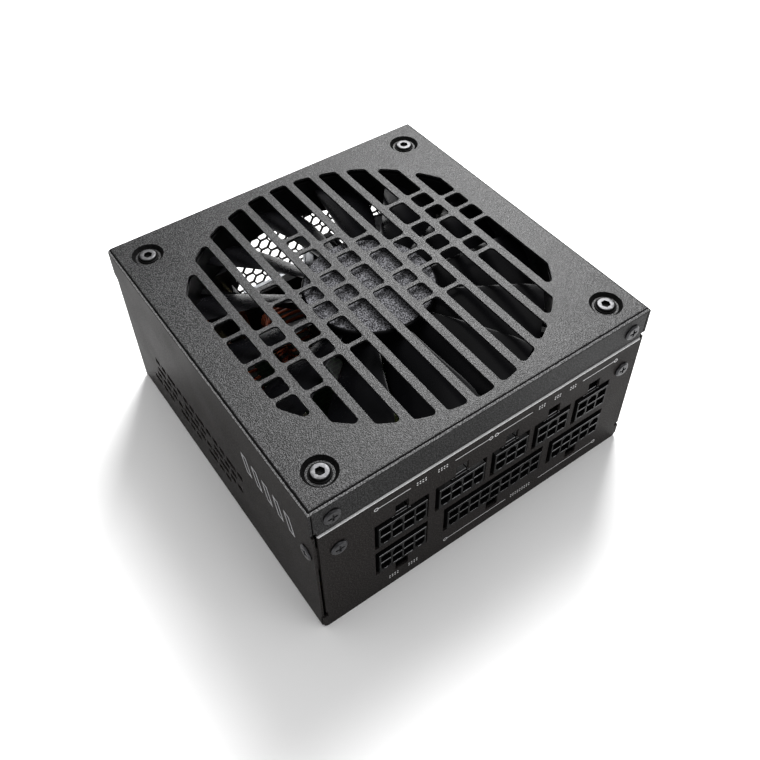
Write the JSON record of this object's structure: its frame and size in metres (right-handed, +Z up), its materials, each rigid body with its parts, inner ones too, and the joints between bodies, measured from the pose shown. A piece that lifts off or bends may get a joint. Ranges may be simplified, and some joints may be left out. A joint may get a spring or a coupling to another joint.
{
  "type": "computer power supply unit",
  "caption": "Compact boxed computer power supply with a slotted fan grille on top, a turning fan, modular sockets, a mains inlet and a rocker switch.",
  "frame": {"origin": "middle of the bottom face, on the plane that the case stands on", "axes": "+Z up towards the fan grille, +Y towards the mains side with its mounting holes, -Y the socket side, +X to the right seen from the socket side"},
  "size_m": [0.1256, 0.1299, 0.0635],
  "materials": {
    "cover_paint": "fine textured powder coat",
    "case_paint": "fine textured powder coat",
    "black_screw": "black oxide",
    "badge": "satin silver print",
    "film": "thin polyester film",
    "fan_plastic": "moulded",
    "rotor_plastic": "moulded",
    "bronze": "machined",
    "steel": "bright",
    "lamination": "laminated",
    "magnet": "bonded ferrite",
    "copper": "enamelled wire",
    "fan_pcb": "solder mask",
    "black_wire": "insulated",
    "mains_wire": "insulated",
    "white_plastic": "moulded",
    "pcb": "solder mask",
    "socket_plastic": "moulded",
    "contact": "plated",
    "mains_plastic": "moulded",
    "ferrite": "sintered",
    "film_box": "potted box",
    "disc_blue": "dipped",
    "fuse_body": "ceramic tube",
    "disc_green": "dipped",
    "chip_black": "moulded",
    "can_sleeve": "shrink sleeve",
    "heatsink": "extruded",
    "tape": "polyester tape",
    "control_pcb": "solder mask"
  },
  "bodies": {
    "case": {"top_cover": "cover_paint", "base_tub": "case_paint", "connector_panel": "case_paint", "rear_panel": "case_paint", "cover_screws": "black_screw", "fan_screws": "black_screw", "panel_screws": "black_screw", "side_screws": "black_screw", "side_badge": "badge", "insulation_sheet": "film", "fan_frame": "fan_plastic", "fan_bearing": "bronze", "fan_stator": "lamination", "fan_coils": "copper", "fan_board": "fan_pcb", "fan_lead": "black_wire", "fan_plug": "white_plastic", "main_board": "pcb", "board_standoffs": "bronze", "board_screws": "steel", "modular_board": "pcb", "board_spacers": "bronze", "board_bars": "copper", "eight_pin_sockets": "socket_plastic", "six_pin_sockets": "socket_plastic", "eighteen_pin_socket": "socket_plastic", "ten_pin_socket": "socket_plastic", "socket_pins": "contact", "inlet_body": "mains_plastic", "inlet_pins": "contact", "switch_frame": "mains_plastic", "switch_terminals": "contact", "mains_leads": "mains_wire", "choke_cores": "ferrite", "choke_windings": "copper", "line_capacitors": "film_box", "safety_capacitors": "disc_blue", "fuse": "fuse_body", "thermistor": "disc_green", "relay": "white_plastic", "bridge_rectifier": "chip_black", "bridge_heatsink": "heatsink", "pfc_core": "ferrite", "pfc_winding": "copper", "bulk_capacitor": "can_sleeve", "primary_heatsink": "heatsink", "power_transistors": "chip_black", "transformer_core": "ferrite", "transformer_winding": "tape", "resonant_choke": "ferrite", "standby_transformer": "tape", "control_board": "control_pcb", "secondary_heatsink": "heatsink", "output_capacitors": "can_sleeve"},
    "rotor": {"fan_rotor": "rotor_plastic", "rotor_yoke": "steel", "rotor_magnet": "magnet", "fan_shaft": "steel", "shaft_clip": "steel"},
    "rocker": {"switch_rocker": "mains_plastic"}
  },
  "joints": [
    {"name": "fan_spin", "type": "hinge", "parent": "case", "child": "rotor", "pos_m": [0, 0, 0.0525], "axis": [0, 0, 1], "continuous": true},
    {"name": "switch_rock", "type": "hinge", "parent": "case", "child": "rocker", "pos_m": [-0.0365, 0.061, 0.0392], "axis": [0, 0, 1], "range_deg": [0, 16]}
  ]
}
